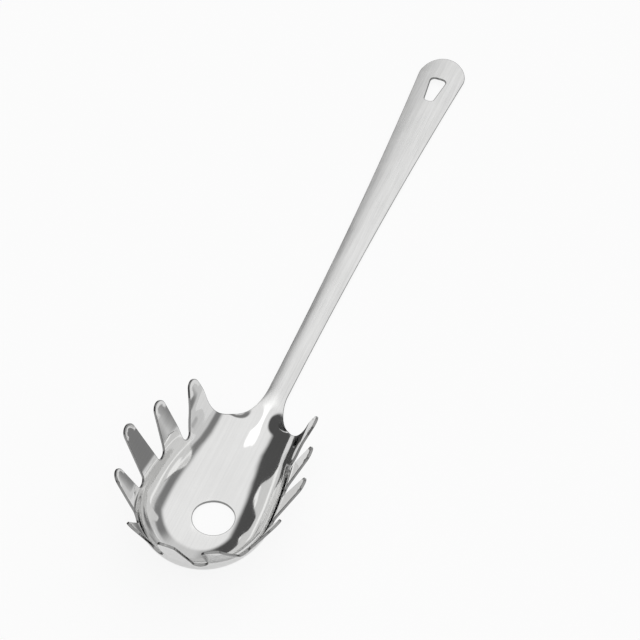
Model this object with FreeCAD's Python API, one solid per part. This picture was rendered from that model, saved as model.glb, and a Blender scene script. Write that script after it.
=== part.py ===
# Spaghetti server pressed from one blank of stainless sheet: a bowl ringed with
# fingers, a measuring hole in its floor, and a crowned handle with a hanging hole.
# The blank is drawn flat, and the press form carries every point of it to its
# place. X runs from the bowl to the handle's end, Z is up, and the server lies on
# the bowl's floor and the handle's end. The origin is the measuring hole's centre
# on the floor's underside.

import FreeCAD, Part
import math
import os

Vec = FreeCAD.Vector
Vec2 = FreeCAD.Base.Vector2d

# Sheet
SHEET = 1.0

# Handle
HANDLE_END = 270.5
HANDLE_END_HALF = 10.0
HANDLE_NECK_HALF = 4.0
HANDLE_NECK = 66.0
HANDLE_TAPER = 2.0
HANDLE_ARCH = 0.1
NECK_CROWN = 2.0
END_CROWN = 2.1
NECK_HEIGHT = 2.6
CROWN_START = 45.0

# Bowl
MEASURE_HOLE_R = 8.0
FAN_CENTRE = -6.7
RIM_REACH = 25.6
FLOOR_FRONT = 6.0
FLOOR_SIDE = 4.4
FLOOR_NECK = 0.2
WALL_BEND = 18.4
WALL_ANGLE = 55.4
WALL_STRAIGHT = 7.3
ROOT_BEND = 5.0
FINGER_ANGLE = 64.4

# Fingers
FINGERS_A_SIDE = 5
FINGER_PITCH = 15.9
FINGER_TIP_R = 3.4
GAP_R = 2.5
ROOT_LINE = 33.1
ROOT_LINE_FALL = 0.0092
NECK_FLARE = 43.4
NECK_FLARE_RISE = 16.6

# Each finger's reach along the sheet from the bowl's centre line, and how far its tip
# leans towards the handle, from the front finger to the one beside the neck
FINGER_REACH = [59.0, 54.8, 50.1, 55.2, 48.0, 38.4]
FINGER_LEAN = [0.0, -5.9, 1.3, 0.6, 2.8, 6.5]

# Hanging hole
HANG_END_GAP = 13.3
HANG_LENGTH = 14.9
HANG_WIDE = 6.8
HANG_NARROW = 4.2
HANG_CORNER = 1.7

# Spacing of the spline surface's control points, and the bow of the seams at the fingers
CELL = 4.0
SEAM_BOW = 2.5


def ease(t):
    t = min(max(t, 0.0), 1.0)
    return t * t * (3.0 - 2.0 * t)


def mix(a, b, t):
    return a + (b - a) * t


# Wall profile: the slope rises round the bowl's bend, then eases back at the finger roots
def wall_slope(run):
    rise = ease(run / WALL_BEND)
    fall = ease((run - WALL_BEND - WALL_STRAIGHT) / ROOT_BEND)
    return math.radians(WALL_ANGLE * rise - (WALL_ANGLE - FINGER_ANGLE) * fall)


PROFILE_STEP = 0.5
PROFILE = [(0.0, 0.0)]
for step in range(220):
    slopes = [wall_slope((step + part) * PROFILE_STEP) for part in (0.0, 0.5, 1.0)]
    out = (math.cos(slopes[0]) + 4 * math.cos(slopes[1]) + math.cos(slopes[2])) / 6
    up = (math.sin(slopes[0]) + 4 * math.sin(slopes[1]) + math.sin(slopes[2])) / 6
    last = PROFILE[-1]
    PROFILE.append((last[0] + out * PROFILE_STEP, last[1] + up * PROFILE_STEP))


def wall_point(run):
    """Reach and height of the wall after a run of sheet from the flat floor."""
    if run <= 0.0:
        return 0.0, 0.0
    step = min(int(run / PROFILE_STEP), len(PROFILE) - 2)
    rest = run - step * PROFILE_STEP
    slope = wall_slope(step * PROFILE_STEP + rest / 2)
    reach, height = PROFILE[step]
    return reach + rest * math.cos(slope), height + rest * math.sin(slope)


# Press form
def handle_half(u):
    taper = min(max((u - HANDLE_NECK) / (HANDLE_END - HANDLE_END_HALF - HANDLE_NECK), 0.0), 1.0)
    return mix(HANDLE_NECK_HALF, HANDLE_END_HALF, taper ** HANDLE_TAPER)


def floor_half(u, front):
    """Half width of the flat floor; front is 0 at the bowl's sides and 1 straight ahead."""
    half = mix(FLOOR_SIDE, FLOOR_FRONT, front * front)
    if u > FAN_CENTRE:
        half = mix(FLOOR_SIDE, FLOOR_NECK, ease((u - FAN_CENTRE) / (NECK_FLARE - FAN_CENTRE + 4.0)))
    return half


def centre_height(u):
    """Height of the sheet's middle along the centre line."""
    lying = SHEET / 2
    if u < HANDLE_NECK:
        return mix(lying, NECK_HEIGHT, ease((u - 2 * MEASURE_HOLE_R) / (HANDLE_NECK - 2 * MEASURE_HOLE_R)))
    along = (u - HANDLE_NECK) / (HANDLE_END - HANDLE_NECK)
    return mix(NECK_HEIGHT, lying + END_CROWN, along) + HANDLE_ARCH * 4 * along * (1 - along)


def sheet_reach(u, front, run):
    half = floor_half(u, front)
    return min(run, half) + wall_point(run - half)[0]


def press(u, v):
    """Where the middle of the flat blank's point (u, v) lies in the pressed server."""
    foot = max(u, FAN_CENTRE)
    run = math.hypot(u - foot, v)
    along, across = ((u - foot) / run, v / run) if run > 1e-9 else (0.0, 1.0)
    half = floor_half(u, -along)
    reach, height = wall_point(run - half)
    reach += min(run, half)
    crowned = ease((u - CROWN_START) / (HANDLE_NECK + 2.0 - CROWN_START))
    edge = min(run / handle_half(u), 2.6)
    length = min(max((u - HANDLE_NECK) / (HANDLE_END - HANDLE_NECK), 0.0), 1.0)
    reach = mix(reach, run, crowned)
    height = mix(height, -mix(NECK_CROWN, END_CROWN, length) * edge * edge, crowned)
    return Vec(foot + along * reach, across * reach, centre_height(u) + height)


def press_normal(u, v):
    d = 0.02
    side = press(u + d, v) - press(u - d, v)
    cross = press(u, v + d) - press(u, v - d)
    return side.cross(cross).normalize()


def control_rows(rows):
    """Control values of a cubic spline that passes through the given values."""
    inner = []
    for i in range(1, len(rows) - 1):
        row = []
        for before, here, after in zip(rows[i - 1], rows[i], rows[i + 1]):
            row.append(here - (before - here * 2 + after) / 6)
        inner.append(row)
    return inner


def sheet_side(offset, u_low, u_high, v_high):
    """Spline surface of one side of the sheet, with the blank's own u and v."""
    u_count = math.ceil((u_high - u_low) / CELL) + 5
    v_count = 2 * math.ceil(v_high / CELL) + 5
    v_low = -(v_count - 1) / 2 * CELL
    u_first = u_low - 2 * CELL
    grid = []
    for i in range(u_count):
        u = u_first + i * CELL
        places = [(u, v_low + j * CELL) for j in range(v_count)]
        grid.append([press(*place) + press_normal(*place) * offset for place in places])
    grid = control_rows(grid)
    grid = list(zip(*control_rows(list(zip(*grid)))))
    u_knots = [u_first + (i - 1) * CELL for i in range(len(grid) + 4)]
    v_knots = [v_low + (j - 1) * CELL for j in range(len(grid[0]) + 4)]
    surface = Part.BSplineSurface()
    surface.buildFromPolesMultsKnots([list(row) for row in grid], [1] * len(u_knots), [1] * len(v_knots),
                                     u_knots, v_knots, False, False, 3, 3)
    return surface


# Blank outline. Positions round the bowl are measured along the rim: q is 0 where the
# front fan meets the side, positive towards the handle, and run is the sheet's length
# out from the bowl's centre line.
FRONT_Q = -math.pi / 2 * RIM_REACH


def root_run(q):
    return ROOT_LINE - ROOT_LINE_FALL * max(q, 0.0) ** 2


def finger_q(index):
    return FRONT_Q + index * FINGER_PITCH


def flat_place(q, run):
    if q >= 0.0:
        return FAN_CENTRE + q, run
    turn = q / RIM_REACH
    return FAN_CENTRE + run * math.sin(turn), run * math.cos(turn)


def finger_place(index, q, run):
    """Blank point of a finger's edge, narrowed where pressing would spread the fan."""
    axis = finger_q(index)
    if axis < 0.0:
        front = math.sin(-axis / RIM_REACH)
        spread = sheet_reach(FAN_CENTRE, front, run) / sheet_reach(FAN_CENTRE, front, root_run(q))
        q = axis + (q - axis) / spread
    return flat_place(q, run)


def tip_centre(index):
    return finger_q(index) + FINGER_LEAN[index], FINGER_REACH[index] - FINGER_TIP_R


def gap_centre(index):
    """Centre of the round root between finger index and the next."""
    q = finger_q(index) + FINGER_PITCH / 2
    return q, root_run(q) + GAP_R


def cross_tangent(start, start_r, end, end_r, side):
    """Touch points of the line that passes one circle on each side."""
    dx, dy = end[0] - start[0], end[1] - start[1]
    distance = math.hypot(dx, dy)
    heading = math.atan2(dy, dx)
    lean = math.acos((start_r + end_r) / distance)
    angle = heading + side * lean
    touch_start = (start[0] + start_r * math.cos(angle), start[1] + start_r * math.sin(angle))
    touch_end = (end[0] - end_r * math.cos(angle), end[1] - end_r * math.sin(angle))
    return touch_start, touch_end


def arc_points(centre, radius, start, end, by_way_of, count=7):
    """Points on a circle from start to end, going round through the given angle."""
    a = math.atan2(start[1] - centre[1], start[0] - centre[0])
    b = math.atan2(end[1] - centre[1], end[0] - centre[0])
    a = by_way_of + math.remainder(a - by_way_of, 2 * math.pi)
    b = by_way_of + math.remainder(b - by_way_of, 2 * math.pi)
    angles = [mix(a, b, i / (count - 1)) for i in range(count)]
    return [(centre[0] + radius * math.cos(t), centre[1] + radius * math.sin(t)) for t in angles]


def line_points(start, end, count=5):
    return [(mix(start[0], end[0], i / (count - 1)), mix(start[1], end[1], i / (count - 1)))
            for i in range(count)]


def bezier_points(corners, count=9):
    points = []
    for i in range(count):
        t = i / (count - 1)
        weights = [(1 - t) ** 3, 3 * t * (1 - t) ** 2, 3 * t * t * (1 - t), t ** 3]
        points.append(tuple(sum(w * c[axis] for w, c in zip(weights, corners)) for axis in (0, 1)))
    return points


def handle_edge():
    """Stretches from the handle's end to the neck, with v above 0."""
    middle = HANDLE_END - HANDLE_END_HALF
    half_way = (middle + HANDLE_NECK) / 2
    rounding = arc_points((middle, 0.0), HANDLE_END_HALF, (HANDLE_END, 0.0), (middle, HANDLE_END_HALF), 0.5)
    stretches = [rounding]
    for start, end in ((middle, half_way), (half_way, HANDLE_NECK)):
        taper = [mix(start, end, i / 5) for i in range(6)]
        stretches.append([(u, handle_half(u)) for u in taper])
    return stretches


def neck_edge():
    start = (HANDLE_NECK, HANDLE_NECK_HALF)
    turn = (NECK_FLARE, NECK_FLARE_RISE)
    return [bezier_points([start, (start[0] - 12.0, start[1]), (turn[0] + 2.6, turn[1] - 5.2), turn])]


def finger_edge(index):
    """Stretches of one finger's edge from its root nearer the handle to its root nearer the front."""
    tip = tip_centre(index)
    stretches = []
    if index == FINGERS_A_SIDE:
        start = (NECK_FLARE, NECK_FLARE_RISE)
        back = (tip[0] + FINGER_TIP_R * math.cos(0.12), tip[1] + FINGER_TIP_R * math.sin(0.12))
        end = (FAN_CENTRE + back[0], back[1])
        stretches.append(bezier_points([start, (start[0] - 2.8, start[1] + 5.6), (end[0] + 1.1, end[1] - 9.0), end]))
    else:
        gap = gap_centre(index)
        back, meet = cross_tangent(tip, FINGER_TIP_R, gap, GAP_R, 1)
        bottom = (gap[0], gap[1] - GAP_R)
        root = arc_points(gap, GAP_R, bottom, meet, -math.pi / 2)
        stretches.append([finger_place(index, *point) for point in root])
        stretches.append([finger_place(index, *point) for point in line_points(meet, back)])
    if index == 0:
        peak = (tip[0], tip[1] + FINGER_TIP_R)
        rounding = arc_points(tip, FINGER_TIP_R, back, peak, math.pi / 2)
        stretches.append([finger_place(index, *point) for point in rounding])
        return stretches
    gap = gap_centre(index - 1)
    leave, meet = cross_tangent(tip, FINGER_TIP_R, gap, GAP_R, -1)
    bottom = (gap[0], gap[1] - GAP_R)
    rounding = arc_points(tip, FINGER_TIP_R, back, leave, math.pi / 2)
    stretches.append([finger_place(index, *point) for point in rounding])
    stretches.append([finger_place(index, *point) for point in line_points(leave, meet)])
    root = arc_points(gap, GAP_R, meet, bottom, -math.pi / 2)
    stretches.append([finger_place(index, *point) for point in root])
    return stretches


def mirrored(stretches):
    return [[(u, -v) for u, v in reversed(stretch)] for stretch in reversed(stretches)]


def root_seam(start, end):
    """Curve across a finger's root, bowed into the bowl so that it clears the round gaps."""
    chord = math.hypot(end[0] - start[0], end[1] - start[1])
    bow = SEAM_BOW / chord
    middle = ((start[0] + end[0]) / 2 - (end[1] - start[1]) * bow, (start[1] + end[1]) / 2 + (end[0] - start[0]) * bow)
    return [start, middle, end]


def blank_parts():
    """Edges of the lengths from the handle's end to the bowl's front, of each finger and of the whole rim."""
    sides = [finger_edge(index) for index in range(FINGERS_A_SIDE, 0, -1)]
    front = finger_edge(0) + mirrored(finger_edge(0))
    handle = handle_edge()
    neck = neck_edge()
    fingers = sides + [front] + [mirrored(side) for side in reversed(sides)]
    seams = [root_seam(finger[0][0], finger[-1][-1]) for finger in fingers]
    parts = []
    closing = []
    for length in (handle[:-1], handle[-1:], neck, seams[:2]):
        corner = length[-1][-1]
        across = [corner, (corner[0], -corner[1])]
        parts.append((length + [across] + mirrored(length) + closing, []))
        closing = [across[::-1]]
    parts.append((seams[2:-2] + closing, []))
    parts += [(finger + [seam[::-1]], []) for finger, seam in zip(fingers, seams)]
    rim = handle + neck + sum(fingers, []) + mirrored(neck) + mirrored(handle)
    return parts, rim


def hang_hole():
    """Tapered hanging hole with rounded corners, wide towards the handle's end."""
    far = HANDLE_END - HANG_END_GAP
    near = far - HANG_LENGTH
    corners = []
    for u, width, sign in ((far, HANG_WIDE, -1), (near, HANG_NARROW, 1)):
        corners.append((u + sign * HANG_CORNER, width / 2 - HANG_CORNER))
    (far_u, far_v), (near_u, near_v) = corners
    slope = math.atan2(far_v - near_v, far_u - near_u)
    circles = [(far_u, far_v), (near_u, near_v), (near_u, -near_v), (far_u, -far_v)]
    headings = [(0.0, math.pi / 2 + slope), (math.pi / 2 + slope, math.pi),
                (math.pi, 1.5 * math.pi - slope), (1.5 * math.pi - slope, 2 * math.pi)]
    stretches = []
    for centre, (first, last) in zip(circles, headings):
        turn = [mix(first, last, i / 6) for i in range(7)]
        arc = [(centre[0] + HANG_CORNER * math.cos(t), centre[1] + HANG_CORNER * math.sin(t)) for t in turn]
        if stretches:
            stretches.append([stretches[-1][-1], arc[0]])
        stretches.append(arc)
    stretches.append([stretches[-1][-1], stretches[0][0]])
    return stretches


# Sheet solid
def flat_curve(points):
    if len(points) == 2:
        return Part.Geom2d.Line2dSegment(Vec2(*points[0]), Vec2(*points[1]))
    curve = Part.Geom2d.BSplineCurve2d()
    curve.interpolate([Vec2(*point) for point in points])
    return curve


def part_face(surface, loops):
    wires = [Part.Wire([curve.toShape(surface) for curve in loop]) for loop in loops]
    face = Part.Face(surface, wires[0])
    face.validate()
    if len(wires) > 1:
        face.cutHoles(wires[1:])
        face.validate()
    return face


def pressed_sheet():
    """Closed solid of the blank between its two pressed sides."""
    parts, rim = blank_parts()
    hole = hang_hole()
    parts[0][1].append(hole)
    u_all = [u for stretch in rim for u, v in stretch]
    v_all = [v for stretch in rim for u, v in stretch]
    extent = (min(u_all) - 2.0, max(u_all) + 2.0, max(v_all) + 2.0)
    upper = sheet_side(SHEET / 2, *extent)
    lower = sheet_side(-SHEET / 2, *extent)
    faces = []
    for outline, holes in parts:
        loops = [[flat_curve(stretch) for stretch in loop] for loop in [outline] + holes]
        faces += [part_face(side, loops) for side in (upper, lower)]
    for stretch in rim + hole:
        curve = flat_curve(stretch)
        faces.append(Part.makeRuledSurface(curve.toShape(upper), curve.toShape(lower)))
    shell = Part.makeShell(faces)
    shell.sewShape(0.002)
    solid = Part.makeSolid(shell)
    if solid.Volume < 0:
        solid.reverse()
    return solid


os.makedirs("parts", exist_ok=True)
sheet = pressed_sheet()
drill = Part.makeCylinder(MEASURE_HOLE_R, 6 * SHEET, Vec(0, 0, -2 * SHEET))
server = sheet.cut(drill).Solids[0]
server.exportStep("parts/server.step")
print("server", server.ShapeType, server.isValid(), round(server.Volume), len(server.Faces))
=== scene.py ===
import math

import bpy
import numpy as np
from mathutils import Matrix, Vector
from mathutils.geometry import delaunay_2d_cdt


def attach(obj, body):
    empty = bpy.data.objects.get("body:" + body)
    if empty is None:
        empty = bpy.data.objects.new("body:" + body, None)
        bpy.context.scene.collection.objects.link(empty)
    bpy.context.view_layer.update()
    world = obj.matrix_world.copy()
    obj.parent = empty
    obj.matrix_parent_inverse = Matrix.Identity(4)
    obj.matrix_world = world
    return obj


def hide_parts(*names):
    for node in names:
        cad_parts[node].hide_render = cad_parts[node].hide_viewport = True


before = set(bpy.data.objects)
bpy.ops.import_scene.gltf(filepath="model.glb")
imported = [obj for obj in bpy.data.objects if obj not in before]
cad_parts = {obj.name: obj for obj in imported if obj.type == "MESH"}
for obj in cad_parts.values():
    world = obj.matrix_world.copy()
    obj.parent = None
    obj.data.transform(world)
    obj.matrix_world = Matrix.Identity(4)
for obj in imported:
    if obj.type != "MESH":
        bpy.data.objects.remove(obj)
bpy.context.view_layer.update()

MM = 0.001

# Sizes of the pressed server in millimetres, as in the part
SHEET = 1.0
HANDLE_END = 270.5
HANDLE_END_HALF = 10.0
HANDLE_NECK_HALF = 4.0
HANDLE_NECK = 66.0
HANDLE_TAPER = 2.0
HANDLE_ARCH = 0.1
NECK_CROWN = 2.0
END_CROWN = 2.1
CROWN_START = 45.0
CROWN_LIMIT = 2.6
NECK_HEIGHT = 2.6
MEASURE_HOLE_R = 8.0
FAN_CENTRE = -6.7
RIM_REACH = 25.6
FLOOR_FRONT = 6.0
FLOOR_SIDE = 4.4
FLOOR_NECK = 0.2
FINGERS_A_SIDE = 5
FINGER_PITCH = 15.9
FINGER_TIP_R = 3.4
GAP_R = 2.5
ROOT_LINE = 33.1
ROOT_LINE_FALL = 0.0092
NECK_FLARE = 43.4
NECK_FLARE_RISE = 16.6
FINGER_REACH = [59.0, 54.8, 50.1, 55.2, 48.0, 38.4]
FINGER_LEAN = [0.0, -5.9, 1.3, 0.6, 2.8, 6.5]
HANG_END_GAP = 13.3
HANG_LENGTH = 14.9
HANG_WIDE = 6.8
HANG_NARROW = 4.2
HANG_CORNER = 1.7

# The bowl's section is rounder than the part's, with the same rim and the same fingertips,
# and the neck rises from the bowl a little later
ROUND_BEND = 27.0
ROUND_ANGLE = 71.6
ROUND_STRAIGHT = 1.0
ROUND_ROOT = 4.0
ROUND_FINGER_ANGLE = 63.6
NECK_RISE_START = 34.0

# Rounding of the sheet's cut edges, and the width over which their wear fades
EDGE_ROUND = 0.22
RIM_FADE = 0.9

# Slight hand of the press that only the polish shows, in degrees: how much flatter each
# finger lies than the wall below it, from the front finger to the one beside the neck,
# the swell across the roots, and the turn of the coined tips
FINGER_EASE = [0.0, 10.0, 19.0, 17.0, 10.5, 16.5]
FINGER_EASE_RUN = 7.0
FINGER_EASE_END = 20.0
ROOT_SWELL = 3.0
ROOT_SWELL_HALF = 2.2
LOWEST_ROOT = 21.5
TIP_TURN = 20.0
TIP_FACET = 1.5

# Share of the handle's crown that its brushing evens out
HANDLE_EVENED = 0.6

# Spacing of the mesh's points on the sheet's faces and along its cut edges
FACE_STEP = 0.8
RIM_STEP = 0.7
MEASURE_HOLE_STEP = 0.5
HANG_HOLE_STEP = 0.4
FACE_INSET = 0.55
BLANK_FRONT = -70.0
BLANK_SIDE = 64.0


# Press form
def ease(t):
    t = np.clip(t, 0.0, 1.0)
    return t * t * (3.0 - 2.0 * t)


def mix(a, b, t):
    return a + (b - a) * t


PROFILE_RUN = np.linspace(0.0, 110.0, 4401)


def summed(slopes):
    """Running sum of slopes along the profile's even steps."""
    return np.concatenate([[0.0], np.cumsum((slopes[1:] + slopes[:-1]) / 2 * PROFILE_RUN[1])])


def wall_profile():
    """Reach and height of the bowl's wall along the sheet, from the flat floor outwards."""
    rise = np.minimum(PROFILE_RUN / ROUND_BEND, 1.0)
    fall = ease((PROFILE_RUN - ROUND_BEND - ROUND_STRAIGHT) / ROUND_ROOT)
    slope = np.radians(ROUND_ANGLE * rise - (ROUND_ANGLE - ROUND_FINGER_ANGLE) * fall)
    return summed(np.cos(slope)), summed(np.sin(slope))


PROFILE_REACH, PROFILE_HEIGHT = wall_profile()


def handle_half(u):
    taper = np.clip((u - HANDLE_NECK) / (HANDLE_END - HANDLE_END_HALF - HANDLE_NECK), 0.0, 1.0)
    return mix(HANDLE_NECK_HALF, HANDLE_END_HALF, taper ** HANDLE_TAPER)


def floor_half(u, front):
    ahead = mix(FLOOR_SIDE, FLOOR_FRONT, front * front)
    behind = mix(FLOOR_SIDE, FLOOR_NECK, ease((u - FAN_CENTRE) / (NECK_FLARE - FAN_CENTRE + 4.0)))
    return np.where(u > FAN_CENTRE, behind, ahead)


def centre_height(u):
    lying = SHEET / 2
    rise = mix(lying, NECK_HEIGHT, ease((u - NECK_RISE_START) / (HANDLE_NECK - NECK_RISE_START)))
    along = (u - HANDLE_NECK) / (HANDLE_END - HANDLE_NECK)
    handle = mix(NECK_HEIGHT, lying + END_CROWN, along) + HANDLE_ARCH * 4 * along * (1 - along)
    return np.where(u < HANDLE_NECK, rise, handle)


def press(u, v):
    """Where points of the flat blank's mid sheet lie in the pressed server."""
    foot = np.maximum(u, FAN_CENTRE)
    run = np.hypot(u - foot, v)
    safe = np.maximum(run, 1e-9)
    along = np.where(run > 1e-9, (u - foot) / safe, 0.0)
    across = np.where(run > 1e-9, v / safe, 1.0)
    half = floor_half(u, -along)
    wall = np.maximum(run - half, 0.0)
    reach = np.minimum(run, half) + np.interp(wall, PROFILE_RUN, PROFILE_REACH)
    height = np.interp(wall, PROFILE_RUN, PROFILE_HEIGHT)
    crowned = ease((u - CROWN_START) / (HANDLE_NECK + 2.0 - CROWN_START))
    edge = np.minimum(run / handle_half(u), CROWN_LIMIT)
    length = np.clip((u - HANDLE_NECK) / (HANDLE_END - HANDLE_NECK), 0.0, 1.0)
    crown = -mix(NECK_CROWN, END_CROWN, length) * edge * edge
    reach = mix(reach, run, crowned)
    height = mix(height, crown, crowned)
    return np.stack([foot + along * reach, across * reach, centre_height(u) + height], axis=-1)


def press_slopes(u, v):
    """The sheet's two directions and its unit normal at points of the blank."""
    d = 0.05
    side = (press(u + d, v) - press(u - d, v)) / (2 * d)
    cross = (press(u, v + d) - press(u, v - d)) / (2 * d)
    normal = np.cross(side, cross)
    return side, cross, normal / lengths(normal)


def lengths(ways):
    return np.maximum(np.linalg.norm(ways, axis=-1, keepdims=True), 1e-9)


# Hand of the press in the polish
def tip_facet(q, run):
    """1 on the narrow coined facet round each fingertip, 0 elsewhere."""
    facet = np.zeros(len(q))
    for index in range(FINGERS_A_SIDE + 1):
        tip_q, tip_run = tip_centre(index)
        out = np.hypot(q - tip_q, run - tip_run)
        near = ease((run - tip_run + 1.5) / 2.0) * (out < 2 * FINGER_TIP_R)
        facet = np.maximum(facet, near * ease((out - FINGER_TIP_R + TIP_FACET) / 0.5))
    return facet


def bowl_lean(q, run):
    """How much flatter than the press form the bowl lies, in degrees."""
    axes = [finger_q(index) for index in range(FINGERS_A_SIDE + 1)]
    eases = np.interp(q, axes + [axes[-1] + FINGER_EASE_END], FINGER_EASE + [0.0])
    past_root = run - np.maximum(root_run(q), LOWEST_ROOT)
    eased = eases * ease((past_root + 1.0) / FINGER_EASE_RUN)
    swell = ROOT_SWELL * np.exp(-((past_root + 1.5) / ROOT_SWELL_HALF) ** 2)
    return eased - swell - TIP_TURN * tip_facet(q, run)


def lean(u, v):
    """How far the surface leans from the press form along the sheet, in radians."""
    run = np.hypot(u - np.maximum(u, FAN_CENTRE), v)
    turn = np.arctan2(FAN_CENTRE - u, np.maximum(np.abs(v), 1e-9))
    q = np.where(u > FAN_CENTRE, u - FAN_CENTRE, -RIM_REACH * turn)
    handle = ease((u - NECK_FLARE) / 10.0)
    crown = np.arctan(2.0 * NECK_CROWN * run / handle_half(u) ** 2)
    return np.radians(bowl_lean(q, run)) * (1.0 - handle) - HANDLE_EVENED * crown * handle


# Blank outline. Positions round the bowl are measured along the rim, as in the part.
FRONT_Q = -math.pi / 2 * RIM_REACH


def sheet_reach(u, front, run):
    half = float(floor_half(u, front))
    wall = max(run - half, 0.0)
    return min(run, half) + float(np.interp(wall, PROFILE_RUN, PROFILE_REACH))


def root_run(q):
    return ROOT_LINE - ROOT_LINE_FALL * np.maximum(q, 0.0) ** 2


def finger_q(index):
    return FRONT_Q + index * FINGER_PITCH


def flat_place(q, run):
    if q >= 0.0:
        return FAN_CENTRE + q, run
    turn = q / RIM_REACH
    return FAN_CENTRE + run * math.sin(turn), run * math.cos(turn)


def finger_place(index, q, run):
    """Blank point of a finger's edge, narrowed where pressing would spread the fan."""
    axis = finger_q(index)
    if axis < 0.0:
        front = math.sin(-axis / RIM_REACH)
        spread = sheet_reach(FAN_CENTRE, front, run) / sheet_reach(FAN_CENTRE, front, root_run(q))
        q = axis + (q - axis) / spread
    return flat_place(q, run)


def tip_centre(index):
    return finger_q(index) + FINGER_LEAN[index], FINGER_REACH[index] - FINGER_TIP_R


def gap_centre(index):
    q = finger_q(index) + FINGER_PITCH / 2
    return q, root_run(q) + GAP_R


def cross_tangent(start, start_r, end, end_r, side):
    """The line that touches two circles on opposite sides."""
    dx, dy = end[0] - start[0], end[1] - start[1]
    angle = math.atan2(dy, dx) + side * math.acos((start_r + end_r) / math.hypot(dx, dy))
    first = (start[0] + start_r * math.cos(angle), start[1] + start_r * math.sin(angle))
    last = (end[0] - end_r * math.cos(angle), end[1] - end_r * math.sin(angle))
    return first, last


def arc_points(centre, radius, start, end, by_way_of, count=17):
    a = math.atan2(start[1] - centre[1], start[0] - centre[0])
    b = math.atan2(end[1] - centre[1], end[0] - centre[0])
    a = by_way_of + math.remainder(a - by_way_of, 2 * math.pi)
    b = by_way_of + math.remainder(b - by_way_of, 2 * math.pi)
    angles = [mix(a, b, i / (count - 1)) for i in range(count)]
    return [(centre[0] + radius * math.cos(t), centre[1] + radius * math.sin(t)) for t in angles]


def line_points(start, end, count=25):
    return [(mix(start[0], end[0], i / (count - 1)), mix(start[1], end[1], i / (count - 1)))
            for i in range(count)]


def bezier_points(corners, count=33):
    points = []
    for i in range(count):
        t = i / (count - 1)
        weights = [(1 - t) ** 3, 3 * t * (1 - t) ** 2, 3 * t * t * (1 - t), t ** 3]
        points.append(tuple(sum(w * c[axis] for w, c in zip(weights, corners)) for axis in (0, 1)))
    return points


def neck_side_edge():
    """Edge of the finger beside the neck, from the neck's flare to its tip."""
    tip = tip_centre(FINGERS_A_SIDE)
    start = (NECK_FLARE, NECK_FLARE_RISE)
    back = (tip[0] + FINGER_TIP_R * math.cos(0.12), tip[1] + FINGER_TIP_R * math.sin(0.12))
    end = (FAN_CENTRE + back[0], back[1])
    points = bezier_points([start, (start[0] - 2.8, start[1] + 5.6), (end[0] + 1.1, end[1] - 9.0), end])
    return back, points


def back_edge(index):
    """A finger's edge nearer the handle, from its root to its tip."""
    gap = gap_centre(index)
    back, meet = cross_tangent(tip_centre(index), FINGER_TIP_R, gap, GAP_R, 1)
    bottom = (gap[0], gap[1] - GAP_R)
    root = arc_points(gap, GAP_R, bottom, meet, -math.pi / 2)
    return back, [finger_place(index, *point) for point in root + line_points(meet, back)]


def finger_edge(index):
    """One finger's edge from its root nearer the handle to its root nearer the front."""
    tip = tip_centre(index)
    back, points = neck_side_edge() if index == FINGERS_A_SIDE else back_edge(index)
    if index == 0:
        edge = arc_points(tip, FINGER_TIP_R, back, (tip[0], tip[1] + FINGER_TIP_R), math.pi / 2)
        return points + [finger_place(index, *point) for point in edge]
    gap = gap_centre(index - 1)
    leave, meet = cross_tangent(tip, FINGER_TIP_R, gap, GAP_R, -1)
    edge = arc_points(tip, FINGER_TIP_R, back, leave, math.pi / 2) + line_points(leave, meet)
    edge += arc_points(gap, GAP_R, meet, (gap[0], gap[1] - GAP_R), -math.pi / 2)
    return points + [finger_place(index, *point) for point in edge]


def blank_rim():
    middle = HANDLE_END - HANDLE_END_HALF
    end = (middle, HANDLE_END_HALF)
    half = arc_points((middle, 0.0), HANDLE_END_HALF, (HANDLE_END, 0.0), end, 0.5, 25)
    half += [(u, float(handle_half(u))) for u in np.linspace(middle, HANDLE_NECK, 160)]
    start = (HANDLE_NECK, HANDLE_NECK_HALF)
    turn = (NECK_FLARE, NECK_FLARE_RISE)
    half += bezier_points([start, (start[0] - 12.0, start[1]), (turn[0] + 2.6, turn[1] - 5.2), turn])
    for index in range(FINGERS_A_SIDE, -1, -1):
        half += finger_edge(index)
    return half + [(u, -v) for u, v in reversed(half)]


def hang_hole():
    far = HANDLE_END - HANG_END_GAP
    near = far - HANG_LENGTH
    far_u, far_v = far - HANG_CORNER, HANG_WIDE / 2 - HANG_CORNER
    near_u, near_v = near + HANG_CORNER, HANG_NARROW / 2 - HANG_CORNER
    slope = math.atan2(far_v - near_v, far_u - near_u)
    quarter = math.pi / 2
    turns = [((far_u, far_v), 0.0, quarter + slope),
             ((near_u, near_v), quarter + slope, math.pi),
             ((near_u, -near_v), math.pi, 3 * quarter - slope),
             ((far_u, -far_v), 3 * quarter - slope, 4 * quarter)]
    points = []
    for centre, first, last in turns:
        for t in np.linspace(first, last, 9):
            points.append((centre[0] + HANG_CORNER * math.cos(t), centre[1] + HANG_CORNER * math.sin(t)))
    return points


def measure_hole():
    turn = np.linspace(0.0, 2 * math.pi, 97)[:-1]
    return [(MEASURE_HOLE_R * math.cos(t), MEASURE_HOLE_R * math.sin(t)) for t in turn]


# Mesh of the sheet: both faces share one flat triangulation, with rounded cut edges
def even_loop(points, spacing):
    """The closed loop's points again, about one spacing apart."""
    loop = np.array(points + points[:1])
    steps = np.hypot(*(loop[1:] - loop[:-1]).T)
    loop = loop[np.concatenate([[True], steps > 1e-6])]
    steps = steps[steps > 1e-6]
    run = np.concatenate([[0.0], np.cumsum(steps)])
    count = int(round(run[-1] / spacing))
    at = np.linspace(0.0, run[-1], count + 1)[:-1]
    return np.stack([np.interp(at, run, loop[:, 0]), np.interp(at, run, loop[:, 1])], axis=-1)


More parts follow.
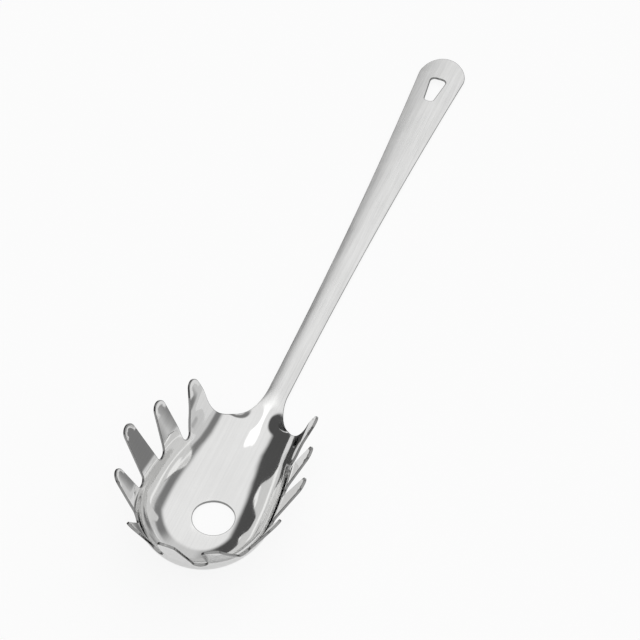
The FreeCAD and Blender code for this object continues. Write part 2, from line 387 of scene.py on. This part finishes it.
def cut_edges():
    """Each closed cut edge of the blank, and whether it is a hole's."""
    return [(even_loop(blank_rim(), RIM_STEP), False),
            (even_loop(measure_hole(), MEASURE_HOLE_STEP), True),
            (even_loop(hang_hole(), HANG_HOLE_STEP), True)]


def inward(loop, hole):
    """Unit directions from the loop into the sheet."""
    tangent = np.roll(loop, -1, axis=0) - np.roll(loop, 1, axis=0)
    tangent /= np.linalg.norm(tangent, axis=1, keepdims=True)
    normal = np.stack([-tangent[:, 1], tangent[:, 0]], axis=-1)
    area = np.sum(loop[:, 0] * np.roll(loop[:, 1], -1) - np.roll(loop[:, 0], -1) * loop[:, 1])
    return normal * (1.0 if (area > 0) != hole else -1.0)


def inside(points, loop):
    """Which points lie inside a closed loop."""
    result = np.zeros(len(points), bool)
    ends = np.roll(loop, -1, axis=0)
    for (x0, y0), (x1, y1) in zip(loop, ends):
        if y0 == y1:
            continue
        crosses = (points[:, 1] < y0) != (points[:, 1] < y1)
        at = x0 + (points[:, 1] - y0) * (x1 - x0) / (y1 - y0)
        result ^= crosses & (points[:, 0] < at)
    return result


def in_sheet(points, rim, *holes):
    keep = inside(points, rim)
    for hole in holes:
        keep &= ~inside(points, hole)
    return keep


def distance(points, loop):
    """Distance of each point from the loop's nearest corner."""
    result = np.full(len(points), np.inf)
    for block in range(0, len(points), 2000):
        part = points[block:block + 2000]
        gaps = np.hypot(part[:, None, 0] - loop[None, :, 0], part[:, None, 1] - loop[None, :, 1])
        result[block:block + 2000] = gaps.min(axis=1)
    return result


def face_grid(loops):
    """Even triangular grid of points inside the sheet, clear of its edges."""
    rows = []
    along = np.arange(BLANK_FRONT, HANDLE_END + 1.0, FACE_STEP)
    for row, v in enumerate(np.arange(-BLANK_SIDE, BLANK_SIDE, FACE_STEP * 0.866)):
        shift = FACE_STEP / 2 if row % 2 else 0.0
        rows.append(np.stack([along + shift, np.full(len(along), v)], axis=-1))
    grid = np.concatenate(rows)
    grid = grid[in_sheet(grid, *loops)]
    for loop in loops:
        grid = grid[distance(grid, loop) > FACE_STEP * 0.55]
    return grid


def face_triangles(loops):
    """Flat points of a face, with the loops' points first, and its triangles."""
    flat = np.concatenate(loops + [face_grid(loops)])
    sides, start = [], 0
    for loop in loops:
        index = np.arange(len(loop)) + start
        sides += list(zip(index.tolist(), np.roll(index, -1).tolist()))
        start += len(loop)
    drawn = delaunay_2d_cdt([Vector(p) for p in flat.tolist()], sides, [], 0, 1e-7)
    corners = np.array([tuple(p) for p in drawn[0]])
    origin = np.array([where[0] for where in drawn[3]])
    triangles = np.array([triangle for triangle in drawn[2] if len(triangle) == 3])
    keep = in_sheet(corners[triangles].mean(axis=1), *loops)
    return flat, origin[triangles[keep]]


def edge_profile():
    """Depth, lift from mid sheet and turn to the cut, round a cut edge from face to face."""
    upper = []
    for t in np.radians([90.0, 60.0, 30.0, 0.0]):
        lift = SHEET / 2 - EDGE_ROUND + EDGE_ROUND * math.sin(t)
        upper.append((EDGE_ROUND * (1.0 - math.cos(t)), lift, math.cos(t)))
    return upper + [(depth, -lift, share) for depth, lift, share in reversed(upper)]


def ring_faces(rings, count, hole):
    """Quads between neighbouring rings of points round a cut edge."""
    here = np.arange(count)
    there = np.roll(here, -1)
    quads = [np.stack([low + here, high + here, high + there, low + there], axis=-1)
             for low, high in zip(rings, rings[1:])]
    quads = np.concatenate(quads)
    return quads[:, ::-1] if hole else quads


def pressed_layer(points, lift, share, ways):
    """Places and normals of points at a lift from mid sheet.

    The share turns the normals from the face to the cut edge, which lies against the ways.
    """
    u, v = points[:, 0], points[:, 1]
    side, cross, normal = press_slopes(u, v)
    place = press(u, v) + normal * lift
    foot = np.maximum(u, FAN_CENTRE)
    run = np.maximum(np.hypot(u - foot, v), 1e-9)
    rising = side * ((u - foot) / run)[:, None] + cross * (v / run)[:, None]
    normal = normal + rising / lengths(rising) * np.tan(lean(u, v))[:, None]
    normal /= lengths(normal)
    outward = -(side * ways[:, :1] + cross * ways[:, 1:])
    outward -= normal * np.sum(outward * normal, axis=1, keepdims=True)
    outward /= lengths(outward)
    level = math.copysign(math.sqrt(max(1.0 - share * share, 0.0)), lift)
    return place, normal * level + outward * share


def sheet_layers():
    """Layers of points over both faces and round the cut edges, with the faces between them."""
    edges = cut_edges()
    loops = [loop + inward(loop, hole) * FACE_INSET for loop, hole in edges]
    flat, triangles = face_triangles(loops)
    worn = np.exp(-np.min([distance(flat, loop) for loop, hole in edges], axis=0) / RIM_FADE)
    level = np.tile([1.0, 0.0], (len(flat), 1))
    layers = [(flat, SHEET / 2, 0.0, level, worn), (flat, -SHEET / 2, 0.0, level, worn)]
    faces = [triangles, triangles[:, ::-1] + len(flat)]
    start, count = 0, 2 * len(flat)
    for loop, hole in edges:
        ways = inward(loop, hole)
        rings = [start]
        for depth, lift, share in edge_profile():
            layers.append((loop + ways * depth, lift, share, ways, np.ones(len(loop))))
            rings.append(count)
            count += len(loop)
        rings.append(len(flat) + start)
        faces.append(ring_faces(rings, len(loop), hole))
        start += len(loop)
    return layers, faces


def make_server():
    layers, faces = sheet_layers()
    pressed = [pressed_layer(*layer[:4]) for layer in layers]
    places = np.concatenate([place for place, normal in pressed]) * MM
    normals = np.concatenate([normal for place, normal in pressed])
    blank = np.concatenate([layer[0] for layer in layers])
    rim = np.concatenate([layer[4] for layer in layers])

    mesh = bpy.data.meshes.new("server_sheet")
    mesh.from_pydata(places.tolist(), [], [corners for part in faces for corners in part.tolist()])
    mesh.update()
    mesh.polygons.foreach_set("use_smooth", [True] * len(mesh.polygons))
    corner_points = np.zeros(len(mesh.loops), int)
    mesh.loops.foreach_get("vertex_index", corner_points)
    uv_layer = mesh.uv_layers.new(name="blank")
    uv_layer.data.foreach_set("uv", (blank[corner_points] / UV_MM).ravel())
    rim_layer = mesh.attributes.new(name="rim", type="FLOAT", domain="POINT")
    rim_layer.data.foreach_set("value", rim)
    mesh.normals_split_custom_set_from_vertices(normals.tolist())
    piece = bpy.data.objects.new("pressed_server", mesh)
    bpy.context.scene.collection.objects.link(piece)
    return piece


# Materials. The sheet's uv map holds the blank's millimetres divided by this.
UV_MM = 1000.0 / 3.0

# Where the mirror polish turns to satin, along the neck
SATIN_START = 49.0
SATIN_FULL = 68.0

# Brightness of the polished bowl and the brushed handle, and how much darker cut edges are
POLISHED_LEVEL = 0.75
BRUSHED_LEVEL = 0.725
SHEARED_DARK = 0.48
STEEL_TINT = (1.0, 0.999, 0.992)

# Heights in metres of the polish's ripples and of the lines that buffing and brushing leave
RIPPLE_HEIGHT = 0.00007
BUFFED_HEIGHT = 0.0000005
BRUSHED_HEIGHT = 0.0000060

# How white the paper looks by itself, seen directly and in the steel
FLOOR_GLOW = 0.86
FLOOR_GLOW_MIRRORED = 0.45


def new_material(name):
    material = bpy.data.materials.new(name)
    material.use_nodes = True
    return material, material.node_tree, material.node_tree.nodes["Principled BSDF"]


def add_node(tree, kind, **values):
    """A node with its settings, and its inputs by name where a key is none of its settings."""
    node = tree.nodes.new(kind)
    for key, value in values.items():
        if hasattr(node, key):
            setattr(node, key, value)
        else:
            node.inputs[key.replace("_", " ")].default_value = value
    return node


def set_inputs(tree, sockets, values):
    for socket, value in zip(sockets, values):
        if isinstance(value, (int, float)):
            socket.default_value = value
        else:
            tree.links.new(value, socket)


def streaks(tree, place, across, along, detail=3.0):
    """Noise drawn out along the sheet's length, with its sizes in millimetres."""
    stretch = add_node(tree, "ShaderNodeMapping")
    stretch.inputs["Scale"].default_value = (UV_MM / along, UV_MM / across, 1.0)
    noise = add_node(tree, "ShaderNodeTexNoise", noise_dimensions="2D", Scale=1.0, Detail=detail)
    tree.links.new(place, stretch.inputs["Vector"])
    tree.links.new(stretch.outputs["Vector"], noise.inputs["Vector"])
    return noise.outputs["Fac"]


def blotches(tree, place, size, detail=2.0):
    return streaks(tree, place, size, size, detail)


def between(tree, value, low, high, start, end):
    """The value's range from low to high, carried smoothly to start and end."""
    node = add_node(tree, "ShaderNodeMapRange", interpolation_type="SMOOTHSTEP")
    set_inputs(tree, node.inputs[:5], (value, low, high, start, end))
    return node.outputs["Result"]


def spread(tree, noise, low, high):
    """Noise carried to the range from low to high."""
    return between(tree, noise, 0.3, 0.7, low, high)


def arithmetic(tree, operation, first, second):
    node = add_node(tree, "ShaderNodeMath", operation=operation)
    set_inputs(tree, node.inputs[:2], (first, second))
    return node.outputs["Value"]


def plus(tree, first, second):
    return arithmetic(tree, "ADD", first, second)


def times(tree, first, second):
    return arithmetic(tree, "MULTIPLY", first, second)


def towards(tree, way, direction):
    """How far a way points in a direction."""
    node = add_node(tree, "ShaderNodeVectorMath", operation="DOT_PRODUCT")
    node.inputs[1].default_value = direction
    tree.links.new(way, node.inputs[0])
    return node.outputs["Value"]


def blend(tree, share, first, second):
    """Goes from the first value to the second as the share goes from 0 to 1."""
    node = add_node(tree, "ShaderNodeMix", data_type="FLOAT")
    set_inputs(tree, node.inputs[:1] + node.inputs[2:4], (share, first, second))
    return node.outputs[0]


def mix_shaders(tree, share, first, second, output):
    mixer = add_node(tree, "ShaderNodeMixShader")
    set_inputs(tree, mixer.inputs, (share, first.outputs[0], second.outputs[0]))
    tree.links.new(mixer.outputs[0], tree.nodes[output].inputs["Surface"])


def steel_colour(tree, satin, rim, worn, noises):
    """Grain on the handle, faint buffing in the bowl, and darker cut edges."""
    grain, coarse, buffing, smudges = noises
    grained = plus(tree, spread(tree, grain, -0.035, 0.035), spread(tree, coarse, -0.025, 0.025))
    tone = blend(tree, satin, spread(tree, buffing, -0.014, 0.014), grained)
    tone = plus(tree, tone, spread(tree, smudges, -0.015, 0.015))
    tone = plus(tree, tone, times(tree, worn, 0.04))
    level = plus(tree, blend(tree, satin, POLISHED_LEVEL, BRUSHED_LEVEL), tone)
    level = arithmetic(tree, "SUBTRACT", level, between(tree, rim, 0.80, 1.0, 0.0, SHEARED_DARK))
    colour = add_node(tree, "ShaderNodeCombineColor")
    set_inputs(tree, colour.inputs, [times(tree, level, tint) for tint in STEEL_TINT])
    return colour.outputs["Color"]


def steel_roughness(tree, satin, worn, grain, smudges):
    polished = between(tree, smudges, 0.35, 0.7, 0.05, 0.09)
    brushed = plus(tree, spread(tree, grain, 0.27, 0.36), spread(tree, smudges, -0.02, 0.03))
    return plus(tree, blend(tree, satin, polished, brushed), times(tree, worn, 0.10))


def steel_bump(tree, satin, place, grain, buffing):
    """Slight ripples in the polish, and the lines of buffing and brushing."""
    ripples = times(tree, blotches(tree, place, 12.0, 1.0), RIPPLE_HEIGHT)
    buffed = times(tree, buffing, BUFFED_HEIGHT)
    lines = blend(tree, satin, buffed, times(tree, grain, BRUSHED_HEIGHT))
    bump = add_node(tree, "ShaderNodeBump", Strength=1.0, Distance=1.0)
    tree.links.new(plus(tree, ripples, lines), bump.inputs["Height"])
    return bump.outputs["Normal"]


def stainless_steel():
    """Mirror polish in the bowl and satin brushing on the handle, with rubbed cut edges."""
    material, tree, shader = new_material("stainless_steel")
    place = add_node(tree, "ShaderNodeUVMap", uv_map="blank").outputs["UV"]
    axes = add_node(tree, "ShaderNodeSeparateXYZ")
    tree.links.new(place, axes.inputs["Vector"])
    satin = between(tree, axes.outputs["X"], SATIN_START / UV_MM, SATIN_FULL / UV_MM, 0.0, 1.0)
    rim = add_node(tree, "ShaderNodeAttribute", attribute_name="rim").outputs["Fac"]
    worn = times(tree, rim, between(tree, blotches(tree, place, 5.0), 0.35, 0.65, 0.4, 1.0))

    grain = streaks(tree, place, 0.35, 14.0, 4.0)
    coarse = streaks(tree, place, 1.3, 45.0)
    buffing = streaks(tree, place, 0.8, 60.0, 4.0)
    smudges = blotches(tree, place, 26.0, 4.0)
    colour = steel_colour(tree, satin, rim, worn, (grain, coarse, buffing, smudges))
    tree.links.new(colour, shader.inputs["Base Color"])
    tree.links.new(steel_roughness(tree, satin, worn, grain, smudges), shader.inputs["Roughness"])
    tree.links.new(steel_bump(tree, satin, place, grain, buffing), shader.inputs["Normal"])
    shader.inputs["Metallic"].default_value = 1.0
    return material


def floor_paper():
    """White seamless paper that keeps the object's shadow."""
    material, tree, shader = new_material("white_paper")
    shader.inputs["Base Color"].default_value = (0.95, 0.95, 0.95, 1.0)
    shader.inputs["Roughness"].default_value = 0.9
    shader.inputs["Specular IOR Level"].default_value = 0.0
    white = add_node(tree, "ShaderNodeEmission", Strength=1.0)
    path = add_node(tree, "ShaderNodeLightPath")
    direct = times(tree, path.outputs["Is Camera Ray"], FLOOR_GLOW)
    mirrored = times(tree, path.outputs["Is Glossy Ray"], FLOOR_GLOW_MIRRORED)
    share = arithmetic(tree, "MAXIMUM", direct, mirrored)
    mix_shaders(tree, share, shader, white, "Material Output")
    return material


server = make_server()
server.data.materials.append(stainless_steel())
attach(server, "root")
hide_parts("server")

# Floor
FLOOR_HALF = 3.0


def make_floor():
    mesh = bpy.data.meshes.new("floor")
    corners = [(x * FLOOR_HALF, y * FLOOR_HALF, 0) for x, y in ((-1, -1), (1, -1), (1, 1), (-1, 1))]
    mesh.from_pydata(corners, [], [(0, 1, 2, 3)])
    mesh.materials.append(floor_paper())
    floor = bpy.data.objects.new("floor", mesh)
    bpy.context.scene.collection.objects.link(floor)


make_floor()

# Studio: a bright ceiling with one round lamp, over a dark band low round the room, which
# the polished steel shows. The band stands higher on one side, where it is also darkest.
CEILING = 1.0
LAMP_LIGHT = 1.45
LAMP_WAY = (0.43, 0.17, 0.885)
LAMP_EDGE = (0.988, 0.991)
BAND_LIGHT = 0.72
BAND_LEFT = 0.09
BAND_RIGHT = 0.24
BAND_TOP = (0.45, 0.60)
BAND_TILT = (0.0, -0.16, 1.0)
HORIZON_LIGHT = 1.15


def room_light(tree):
    """Brightness of the room in each direction."""
    way = add_node(tree, "ShaderNodeTexCoord").outputs["Generated"]
    axes = add_node(tree, "ShaderNodeSeparateXYZ")
    tree.links.new(way, axes.inputs["Vector"])
    left = between(tree, axes.outputs["Y"], 0.22, 0.50, BAND_LIGHT, BAND_LEFT)
    right = between(tree, axes.outputs["Z"], 0.0, 0.20, HORIZON_LIGHT, BAND_RIGHT)
    right = blend(tree, between(tree, axes.outputs["Y"], -0.42, -0.12, 0.0, 1.0), right, BAND_LIGHT)
    band = arithmetic(tree, "MINIMUM", left, right)
    above = between(tree, towards(tree, way, BAND_TILT), *BAND_TOP, 0.0, 1.0)
    ceiling = between(tree, towards(tree, way, LAMP_WAY), *LAMP_EDGE, CEILING, LAMP_LIGHT)
    return blend(tree, above, band, ceiling)


def make_studio():
    world = bpy.data.worlds.new("studio")
    world.use_nodes = True
    tree = world.node_tree
    room = tree.nodes["Background"]
    tree.links.new(room_light(tree), room.inputs["Color"])
    backdrop = add_node(tree, "ShaderNodeBackground", Strength=1.0)
    backdrop.inputs["Color"].default_value = (1.0, 1.0, 1.0, 1.0)
    path = add_node(tree, "ShaderNodeLightPath")
    mix_shaders(tree, path.outputs["Is Camera Ray"], room, backdrop, "World Output")
    bpy.context.scene.world = world


make_studio()

# Camera at the photograph's viewing angle
VIEW_HALF_ANGLE = math.radians(7.0)
EYE = Vector((-549.2, -230.3, 769.1)) * MM
EYE_RIGHT = Vector((0.3547, -0.9346, 0.0249))
EYE_FORWARD = Vector((0.6339, 0.2208, -0.7413)).normalized()


def make_camera():
    data = bpy.data.cameras.new("camera")
    data.sensor_width = 36.0
    data.lens = data.sensor_width / 2 / math.tan(VIEW_HALF_ANGLE)
    data.clip_end = 20.0
    camera = bpy.data.objects.new("camera", data)
    bpy.context.scene.collection.objects.link(camera)
    right = (EYE_RIGHT - EYE_FORWARD * EYE_RIGHT.dot(EYE_FORWARD)).normalized()
    turn = Matrix((right, right.cross(EYE_FORWARD), -EYE_FORWARD)).transposed().to_4x4()
    camera.matrix_world = Matrix.Translation(EYE) @ turn
    bpy.context.scene.camera = camera


make_camera()
bpy.context.scene.view_settings.view_transform = "Standard"
